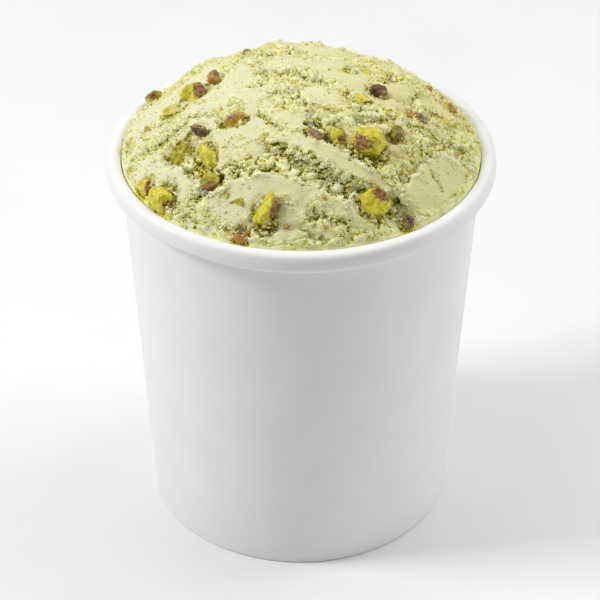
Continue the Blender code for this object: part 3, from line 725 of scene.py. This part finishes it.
def beside_nuts(x, y):
    """1 over and beside the nuts' feet, falling to 0 away from them."""
    near = np.zeros(x.shape)
    for node in NUT_NODES:
        low, high = node_box(node)
        middle, half = (low + high) / 2, (high - low) / 2 + NUT_RING
        spread = np.hypot((x - middle[0]) / half[0], (y - middle[1]) / half[1])
        near = np.maximum(near, 1 - smooth_step((spread - 0.7) / 0.4))
    return near


def fold_shape(fold, x, y, ragged, patches):
    """A fold's relief, its lip on the left and hollow on the right, and how torn it is."""
    side, part = side_of(smooth_path(fold.points), x, y)
    side = side + 0.8 * ragged
    fade = smooth_step(part / FOLD_FADE) * smooth_step((1 - part) / FOLD_FADE)
    step = smooth_step(side / CLIFF)
    lip = fold.drop * LIP_SHARE * np.exp(-(np.minimum(side, 0) / LIP_REACH) ** 2)
    refill = smooth_step((side - CLIFF) / (fold.width - CLIFF))
    reach = smooth_step((side + 0.5 + 0.6 * patches) / 0.7)
    reach *= smooth_step((fold.width * 1.2 - side) / 1.5)
    relief = fade * (lip * (1 - step) - fold.drop * step * (1 - refill))
    return relief, fold.crumbs * fade * reach


def heap_surface(x, y):
    """Height of the surface over (x, y), and how torn it is there, from 0 to 1."""
    share = np.minimum(np.hypot(x, y) / HEAP_RADIUS, 1)
    height = TUB_HEIGHT + HEAP_EDGE + (HEAP_RISE - HEAP_EDGE) * (1 - share ** HEAP_POWER)
    ragged = layered_noise(x, y, RAGGED_NOISE)
    patches = layered_noise(x, y, PATCH_NOISE)
    torn = np.clip(PATCH_TORN + TORN_RIGHT * x / HEAP_RADIUS + 0.42 * patches, 0, 1)
    relief = np.zeros(x.shape)
    for patch in SMOOTHS:
        spread = spread_in(patch, x, y)
        edge = (0.5 * ragged + 0.3 * patches) / min(patch.across, 3)
        inside = 1 - smooth_step((spread + edge - 0.58) / 0.75)
        torn *= 1 - inside
        along, across = turned(patch, x, y)
        streaks = lattice_noise(along / STREAK_STRETCH, across, STREAK_WIDTH, 8)
        relief += STREAK_HEIGHT * inside * streaks
    for fold in FOLDS:
        drop, crumbs = fold_shape(fold, x, y, ragged, patches)
        relief += drop
        torn = np.maximum(torn, crumbs)
    for pit in PITS:
        inside = 1 - smooth_step((spread_in(pit, x, y) - 0.45) / 0.75)
        relief -= pit.depth * inside
        torn = np.maximum(torn, inside)
    for swell in SWELLS:
        spread = np.hypot(x - swell.x, y - swell.y) / swell.radius
        relief += swell.height * (1 - smooth_step(spread))
    relief += layered_noise(x, y, SWAY_NOISE)
    beside = beside_nuts(x, y)
    torn = np.maximum(torn, beside * np.clip(0.55 + 0.5 * patches, 0, 1))
    at_wall = smooth_step((np.hypot(x, y) - CREAM_RADIUS) / WALL_BAND + 1 + 0.3 * ragged)
    torn = np.maximum(torn, at_wall * np.clip(0.85 + 0.5 * patches, 0, 1))
    relief -= TORN_DEPTH * smooth_step(torn / 0.8) + NUT_SOCKET * beside
    relief *= smooth_step((1 - share) / 0.12 + 0.25)
    return height + relief + WALL_LIFT * at_wall * (0.7 + ragged), torn


def ring_grid(rings, radius):
    """Points on rings with six more points each, and the triangles between them."""
    flat, faces, inner = [np.zeros((1, 2))], [], 0
    for ring in range(1, rings + 1):
        inside, outside = max(6 * (ring - 1), 1), 6 * ring
        outer = inner + inside
        step = np.arange(outside)
        angle = step * math.pi / (3 * ring)
        reach = radius * ring / rings
        flat.append(np.stack([reach * np.cos(angle), reach * np.sin(angle)], axis=1))
        sector = step // ring
        a, b = outer + step, outer + (step + 1) % outside
        c = inner + (step - sector) % inside
        faces.append(np.stack([a, b, c], axis=1))
        if ring > 1:
            keep = step % ring < ring - 1
            d = inner + (step - sector + 1) % inside
            faces.append(np.stack([c, b, d], axis=1)[keep])
        inner = outer
    return np.concatenate(flat), np.concatenate(faces)


def refine(flat, faces):
    """Split the edges that are too long for the surface they lie on."""
    height, torn = heap_surface(*flat.T)
    points = np.column_stack([flat, height])
    limit = SMOOTH_EDGE + (TORN_EDGE - SMOOTH_EDGE) * smooth_step(torn / 0.3)
    work = bmesh.new()
    corners = [work.verts.new((x, y, 0)) for x, y in flat]
    for face in faces.tolist():
        work.faces.new([corners[i] for i in face])
    work.verts.index_update()
    ends = np.array([[vertex.index for vertex in edge.verts] for edge in work.edges])
    length = np.linalg.norm(points[ends[:, 0]] - points[ends[:, 1]], axis=1)
    long = length > limit[ends].min(axis=1)
    edges = [edge for edge, pick in zip(work.edges, long.tolist()) if pick]
    bmesh.ops.subdivide_edges(work, edges=edges, cuts=1, use_grid_fill=True)
    bmesh.ops.triangulate(work, faces=work.faces)
    work.verts.index_update()
    points, faces = take_apart(work)
    return points[:, :2], faces


def point_normals(points, faces):
    """Unit normals at the points, from the faces round each."""
    a, b, c = points[faces[:, 0]], points[faces[:, 1]], points[faces[:, 2]]
    across = np.cross(b - a, c - a)
    normals = np.zeros(points.shape)
    for corner in range(3):
        for axis in range(3):
            normals[:, axis] += np.bincount(faces[:, corner], across[:, axis], len(points))
    return normals / np.linalg.norm(normals, axis=1)[:, None]


def crumble(points, torn):
    """How far the torn surface stands out in lumps."""
    x, y, z = points.T
    coarse = [lattice_noise(x + 7 * axis, y + z, 1.7, 41 + axis) for axis in range(3)]
    fine = [lattice_noise(x - z, y + 5 * axis, 0.6, 45 + axis) for axis in range(3)]
    points = points + COARSE_SHIFT * np.stack(coarse, axis=1) + FINE_SHIFT * np.stack(fine, axis=1)
    out = np.zeros(len(points))
    for lump in LUMPS:
        near, number = cell_noise(points, lump.cell, lump.seed)
        dome = np.sqrt(np.clip(1 - (near / 0.95) ** 2, 0, 1)) - 0.5
        form = 0.6 * dome + 0.5 * (0.5 - near)
        out += lump.height * form * (0.3 + 1.4 * number) * torn ** lump.power
    return out


def standing_out(points, faces, normals, rounds):
    """How far each point stands out from its neighbourhood, in mm."""
    edges = np.unique(np.sort(faces[:, [0, 1, 1, 2, 2, 0]].reshape(-1, 2), axis=1), axis=0)
    ends = np.concatenate([edges, edges[:, ::-1]])
    count = np.bincount(ends[:, 0], minlength=len(points))
    mean = points.copy()
    for _ in range(rounds):
        for axis in range(3):
            total = np.bincount(ends[:, 0], mean[ends[:, 1], axis], len(points))
            mean[:, axis] = (mean[:, axis] + total / count) / 2
    return ((points - mean) * normals).sum(axis=1)


def add_plug(points, faces, flat):
    """The heap's surface with a plain plug under it, down to the tub's base."""
    reach = np.hypot(*flat.T)
    rim = np.flatnonzero(reach > reach.max() - 0.03)
    rim = rim[np.argsort(np.arctan2(flat[rim, 1], flat[rim, 0]))]
    count, foot = len(rim), len(points)
    shrink = (wall_radius(CREAM_FOOT) - BOARD - GAP) / (CREAM_RADIUS + GAP)
    ring = np.column_stack([flat[rim] * shrink, np.full(count, CREAM_FOOT)])
    i = np.arange(count)
    k = (i + 1) % count
    plug = [(rim, foot + i, foot + k), (rim, foot + k, rim[k]),
            (foot + k, foot + i, np.full(count, foot + count))]
    return (np.concatenate([points, ring, [[0, 0, CREAM_FOOT]]]),
            np.concatenate([faces] + [np.stack(corners, axis=1) for corners in plug]))


def make_heap(material):
    """The ice cream, and its surface's points, their normals, torn and relief, which paints shade
    in its crevices and light where it stands out.
    """
    flat, faces = ring_grid(HEAP_RINGS, CREAM_RADIUS + GAP)
    for _ in range(SPLIT_ROUNDS):
        flat, faces = refine(flat, faces)
    x, y = flat.T
    z, torn = heap_surface(x, y)
    points = np.stack([x, y, z], axis=1)
    normals = point_normals(points, faces)
    edge = smooth_step((CREAM_RADIUS - np.hypot(x, y)) / 0.8)
    out = crumble(points, torn) + SMOOTH_BUMPS * lattice_noise(x, y, 0.8, 21) * (1 - torn)
    out += TORN_GRIT * np.random.default_rng(22).normal(0, 1, len(x)) * torn
    points = points + normals * (out * edge)[:, None]
    # Painted shade and light: the colour's relief is darker where the surface lies deep, paler
    # where it stands out, and darker round the nuts.
    relief = sum(standing_out(points, faces, normals, rounds) / height
                 for rounds, height in SHADE_AND_LIGHT_SCALES)
    relief = np.clip(relief * edge + 0.6 * (1 - edge) - NUT_PAINTED_SHADE * beside_nuts(x, y), -1, 1)
    solid, solid_faces = add_plug(points, faces, flat)
    piece = make_piece("ice_cream_heap", solid, solid_faces, material, 70)
    plain = np.zeros(len(solid) - len(points))
    add_values(piece, "torn", np.concatenate([torn, plain]))
    add_values(piece, "relief", np.concatenate([relief, plain]))
    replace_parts(piece, "ice_cream")
    return points, point_normals(points, faces), torn, relief


# ---- grains ----


def unit_ball(subdivisions):
    """A ball of triangles, or an octahedron for no subdivisions."""
    work = bmesh.new()
    if subdivisions:
        bmesh.ops.create_icosphere(work, subdivisions=subdivisions, radius=1.0)
    else:
        bmesh.ops.create_uvsphere(work, u_segments=4, v_segments=2, radius=1.0)
    return take_apart(work)


def random_turns(count, draw):
    """Rotation matrices, evenly spread."""
    w, x, y, z = draw.normal(0, 1, (4, count))
    size = np.sqrt(w * w + x * x + y * y + z * z)
    w, x, y, z = w / size, x / size, y / size, z / size
    turns = np.empty((count, 3, 3))
    for i, (a, b, c) in enumerate(((x, y, z), (y, z, x), (z, x, y))):
        j = (i + 1) % 3
        turns[:, i, i] = 1 - 2 * (b * b + c * c)
        turns[:, i, j] = 2 * (a * b - c * w)
        turns[:, j, i] = 2 * (a * b + c * w)
    return turns


def scatter(places, normals, sizes, subdivisions, sink, jag, draw, cuts=0, stretch=1.0):
    """Jagged little lumps, each sunk a share of its size, and how high each point lies.

    Cuts are flat faces, as on chopped nuts, and stretch makes lumps that stand up."""
    ball, ball_faces = unit_ball(subdivisions)
    count = len(places)
    shape = np.repeat(ball[None], count, axis=0)
    for _ in range(cuts):
        facing = draw.normal(0, 1, (count, 3))
        facing /= np.linalg.norm(facing, axis=1)[:, None]
        past = np.einsum("nij,nj->ni", shape, facing) - draw.uniform(0.35, 0.75, (count, 1))
        shape -= np.clip(past, 0, None)[:, :, None] * facing[:, None]
    shape = shape * draw.uniform(1 - jag, 1 + 0.5 * jag, (count, len(ball), 1))
    shape = shape * draw.uniform(0.6, 1.3, (count, 1, 3))
    shape = np.einsum("nij,nkj->nki", random_turns(count, draw), shape)
    high = np.einsum("nkj,nj->nk", shape, normals)
    shape += (stretch - 1) * high[:, :, None] * normals[:, None]
    middle = places + normals * (sizes * (0.5 - sink))[:, None]
    points = (shape * sizes[:, None, None] / 2 + middle[:, None]).reshape(-1, 3)
    faces = (ball_faces[None] + (np.arange(count) * len(ball))[:, None, None]).reshape(-1, 3)
    return points, faces, high.ravel()


def torn_spots(surface, count, power, seed, draw, clustered=1.0):
    """Points of the surface drawn where it is most torn, more or less in clusters."""
    points, torn = surface[0], surface[2]
    x, y = points[:, 0], points[:, 1]
    clusters = np.clip(lattice_noise(x, y, 1.9, seed) + 0.4, 0, 1) ** 2
    weight = 0.05 + torn ** power * (1 + clustered * (clusters - 1))
    weight *= np.hypot(x, y) < CREAM_RADIUS - 0.1
    return draw.choice(len(points), count, replace=False, p=weight / weight.sum())


def drawn_sizes(size_range, count, draw):
    """Sizes in a range, small ones more often."""
    return size_range[0] + (size_range[1] - size_range[0]) * draw.uniform(0, 1, count) ** 1.6


def make_grains(name, parts, reliefs, material, draw):
    """One piece from scattered parts, painted paler on their tops and where they stand out, as
    painted light, and darker underneath and in crevices, as painted shade.
    """
    high = []
    for (points, _, lift), relief in zip(parts, reliefs):
        own = relief + draw.normal(0, GRAIN_TONES, len(relief))
        own = GRAIN_GROUND * np.repeat(own, len(points) // len(relief))
        # Painted light on the grains' tops, painted shade on their undersides.
        high.append(GRAIN_TOP_PAINTED_LIGHT * lift + own)
    points, faces = joined(parts)
    piece = make_piece(name, points, faces, material, 35)
    add_values(piece, "torn", np.ones(len(points)))
    add_values(piece, "relief", np.clip(np.concatenate(high), -1, 1))


def grain_reliefs(surface, spots):
    """Painted tone for grains from the surface's painted shade and light under them, paler where
    the surface is hardly torn.
    """
    torn, relief = surface[2:]
    return relief[spots] + GRAIN_ON_SMOOTH * (1 - torn[spots])


def grains_at(surface, spots, size_range, stretch, draw):
    """Single grains standing up from points of the surface."""
    sizes = drawn_sizes(size_range, len(spots), draw)
    return scatter(surface[0][spots], surface[1][spots], sizes, 0, 0.1, GRAIN_JAG, draw,
                   stretch=stretch)


def make_clumps(surface, material):
    """Clumps of ice cream in the torn hollows, each a core with grains stuck on it."""
    points, normals = surface[:2]
    draw = np.random.default_rng(31)
    spots = torn_spots(surface, CLUMPS, 3, 33, draw)
    sizes = drawn_sizes(CLUMP_SIZES, CLUMPS, draw)
    cores = scatter(points[spots], normals[spots], sizes, 1, 0.6, 0.3, draw)
    make_grains("clump_cores", [cores], [grain_reliefs(surface, spots)], material, draw)

    owner = np.repeat(np.arange(CLUMPS), CLUMP_GRAINS)
    toward = draw.normal(0, 1, (len(owner), 3)) + 0.7 * normals[spots][owner]
    toward /= np.linalg.norm(toward, axis=1)[:, None]
    places = points[spots][owner] + toward * (sizes[owner] * 0.42)[:, None]
    sizes = drawn_sizes(CLUMP_GRAIN_SIZES, len(owner), draw)
    grains = scatter(places, toward, sizes, 0, 0.2, GRAIN_JAG, draw, stretch=1.4)
    make_grains("clump_grains", [grains], [grain_reliefs(surface, spots[owner])], material, draw)


def crumbs_on_nut(points, outward, draw):
    """Crumbs of ice cream on the part of a nut just above the surface."""
    above = points[:, 2] - heap_surface(points[:, 0], points[:, 1])[0]
    patches = lattice_noise(points[:, 0] + points[:, 2], points[:, 1], 1.6, 35)
    weight = np.exp(-above / 0.7) * (above > -0.4) * np.clip(patches + 0.4, 0, 1) ** 2
    spots = draw.choice(len(points), NUT_CRUMBS, p=weight / weight.sum())
    sizes = drawn_sizes(NUT_CRUMB_SIZES, NUT_CRUMBS, draw)
    return scatter(points[spots], outward[spots], sizes, 0, 0.3, GRAIN_JAG, draw)


def make_loose_grains(surface, nuts, material):
    """Single grains on the torn surface and on the nuts, then finer ones."""
    draw = np.random.default_rng(32)
    spots = torn_spots(surface, LOOSE_GRAINS, 0.9, 34, draw)
    grains = [grains_at(surface, spots, LOOSE_GRAIN_SIZES, 1.5, draw)]
    grains += [crumbs_on_nut(*nut, draw) for nut in nuts]
    reliefs = [grain_reliefs(surface, spots)] + [np.full(NUT_CRUMBS, 0.3)] * len(nuts)
    make_grains("loose_grains", grains, reliefs, material, draw)
    spots = torn_spots(surface, FINE_GRAINS, 0.6, 36, draw, 0.0)
    grains = grains_at(surface, spots, FINE_GRAIN_SIZES, 1.4, draw)
    make_grains("fine_grains", [grains], [grain_reliefs(surface, spots)], material, draw)


# ---- pistachio pieces ----


def soft_hull(node, directions, crisp):
    """Points where rays from a convex node's middle leave it, its edges rounded off."""
    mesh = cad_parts[node].data
    corners = np.array([vertex.co[:] for vertex in mesh.vertices]) / MM
    middle = corners.mean(axis=0)
    planes = {tuple(round(value, 2) for value in face.normal):
              (face.normal[:], np.dot(face.normal, np.array(face.center) / MM - middle))
              for face in mesh.polygons}
    normals = np.array([plane[0] for plane in planes.values()])
    offsets = np.array([plane[1] for plane in planes.values()])
    lean = np.clip(directions @ normals.T / offsets, 0, None)
    reach = (lean ** crisp).sum(axis=1) ** (-1 / crisp)
    return middle, directions * reach[:, None]


def wrinkles(points, cell, seed):
    """Uneven lumps and creases in three dimensions, from about -0.5 to 0.5."""
    near, number = cell_noise(points, cell, seed)
    return (0.55 - near) * (0.4 + 0.6 * number)


def make_nut(node, nut, seed, material):
    """A nut over its CAD node, cut, wrinkled and with skin on one side."""
    ball, faces = unit_ball(NUT_DETAIL)
    middle, points = soft_hull(node, ball, 2 * nut.crisp)
    draw = np.random.default_rng(seed)
    for facing in draw.normal(0, 1, (NUT_CUTS, 3)):
        facing /= np.linalg.norm(facing)
        reach = points @ facing
        past = np.clip(reach - draw.uniform(*NUT_CUT_REACH) * reach.max(), 0, None)
        points = points - past[:, None] * facing
    points = middle + points
    rough = sum(height * wrinkles(points, cell, seed + layer)
                for layer, (height, cell) in enumerate(NUT_WRINKLES))
    points = points + ball * (KINDS[nut.kind].rough * rough - 0.05)[:, None]
    azimuth, elevation = math.radians(nut.azimuth), math.radians(nut.elevation)
    faced = np.array([math.cos(azimuth) * math.cos(elevation),
                      math.sin(azimuth) * math.cos(elevation), math.sin(elevation)])
    piece = make_piece("nut_" + node, points, faces, material, 50)
    add_values(piece, "skin", 0.5 + (ball @ faced - (1 - 2 * nut.skin)) * 0.8)
    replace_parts(piece, node)
    return points, ball


def make_bits(surface, materials):
    """Small bits and flecks of nut in the surface, coloured by kind."""
    points, normals = surface[:2]
    draw = np.random.default_rng(71)
    names = list(KINDS)
    parts = []
    for bit in BITS:
        spot = np.argmin((points[:, 0] - bit.x) ** 2 + (points[:, 1] - bit.y) ** 2)
        parts.append((spot, bit.size, names.index(bit.kind), 3))
    free = np.flatnonzero(np.hypot(points[:, 0], points[:, 1]) < CREAM_RADIUS - 1.5)
    for spot in draw.choice(free, FLECKS, replace=False):
        size = FLECK_SIZE + FLECK_SPREAD * draw.uniform() ** 2
        parts.append((spot, size, draw.choice(len(names), p=FLECK_SHARES), 2))
    shapes = []
    for spot, size, _, detail in parts:
        here = slice(spot, spot + 1)
        shapes.append(scatter(points[here], normals[here], np.array([BIT_GROWTH * size]),
                              detail, BIT_SINK, 0.06, draw, cuts=BIT_CUTS))
    corners, faces = joined(shapes)
    piece = make_piece("pistachio_bits", corners, faces, materials[names[0]], 40)
    for name in names[1:]:
        piece.data.materials.append(materials[name])
    kinds = np.repeat([part[2] for part in parts], [len(shape[1]) for shape in shapes])
    piece.data.polygons.foreach_set("material_index", kinds.astype(np.int32))
    add_values(piece, "skin", np.clip(draw.normal(0.36, 0.12, len(corners)), 0, 1))


def make_pint():
    """Every piece, in the order of the surface, the nuts and what lies on them."""
    cream = ice_cream_material("pistachio_ice_cream", 0.8, 0.25)
    crumbs = ice_cream_material("ice_cream_crumbs", 0.0, 0.1)
    paper = paper_material("white_paper", 240)
    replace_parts(make_wall(paper), "cup_wall")
    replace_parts(make_base(paper_material("white_paper_base", 242)), "cup_base")
    surface = make_heap(cream)
    materials = {name: nut_material(name, kind) for name, kind in KINDS.items()}
    nuts = [make_nut(node, nut, 60 + 3 * number, materials[nut.kind])
            for number, (node, nut) in enumerate(zip(NUT_NODES, NUTS))]
    make_clumps(surface, crumbs)
    make_loose_grains(surface, nuts, crumbs)
    make_bits(surface, materials)


# ---- studio ----

# The camera as fitted to the photo, in metres, with its sensor and lens in mm.
CAMERA_DISTANCE = 0.6871
CAMERA_ELEVATION = math.radians(34.87)
CAMERA_ROLL = math.radians(0.169)
CAMERA_TARGET = Vector((0.0, 0.0, 0.0557))
CAMERA_SENSOR = 36
CAMERA_LENS = 160.1
CAMERA_SHIFT = -0.001

WORLD_LIGHT = 0.15
FLOOR_REACH = 3  # from its middle to its edges, in metres
FLOOR_TONES = ((240, 240, 240), (243, 243, 243))

# Soft boxes round the tub: name, place, width and height, power in watts.
SOFTBOXES = (
    ("top", (0, 0, 1.1), (1.0, 1.0), 4.5),
    ("top_left", (-0.78, -0.07, 0.7), (0.3, 0.3), 5.8),
    ("top_back", (0, 0.75, 0.8), (0.8, 0.8), 1.5),
    ("top_right", (0.7, 0.3, 0.8), (0.5, 0.5), 2.4),
    ("right", (1.0, 0, 0.3), (0.7, 0.8), 3.1),
)


def add_camera():
    data = bpy.data.cameras.new("camera")
    data.sensor_width = CAMERA_SENSOR
    data.lens = CAMERA_LENS
    data.shift_x = CAMERA_SHIFT
    camera = add_object("camera", data)
    back = Vector((0, -math.cos(CAMERA_ELEVATION), math.sin(CAMERA_ELEVATION)))
    camera.location = CAMERA_TARGET + back * CAMERA_DISTANCE
    aim = (-back).to_track_quat("-Z", "Y").to_matrix().to_4x4()
    camera.rotation_euler = (aim @ Matrix.Rotation(CAMERA_ROLL, 4, "Z")).to_euler()
    bpy.context.scene.camera = camera


def add_softbox(name, place, size, power):
    data = bpy.data.lights.new(name, "AREA")
    data.shape = "RECTANGLE"
    data.size, data.size_y = size
    data.energy = power
    light = add_object(name, data)
    light.location = place
    light.rotation_euler = (CAMERA_TARGET - Vector(place)).to_track_quat("-Z", "Y").to_euler()


def add_studio():
    scene = bpy.context.scene
    scene.view_settings.view_transform = "Standard"
    world = bpy.data.worlds.new("studio")
    scene.world = world
    world.use_nodes = True
    background = world.node_tree.nodes["Background"]
    background.inputs["Color"].default_value = (1, 1, 1, 1)
    background.inputs["Strength"].default_value = WORLD_LIGHT
    for name, place, size, power in SOFTBOXES:
        add_softbox(name, place, size, power)
    mesh = bpy.data.meshes.new("floor")
    low, high = -FLOOR_REACH, FLOOR_REACH
    corners = [(low, low, 0), (high, low, 0), (high, high, 0), (low, high, 0)]
    mesh.from_pydata(corners, [], [(0, 1, 2, 3)])
    mesh.materials.append(floor_material())
    add_object("floor", mesh)


make_pint()
add_camera()
add_studio()
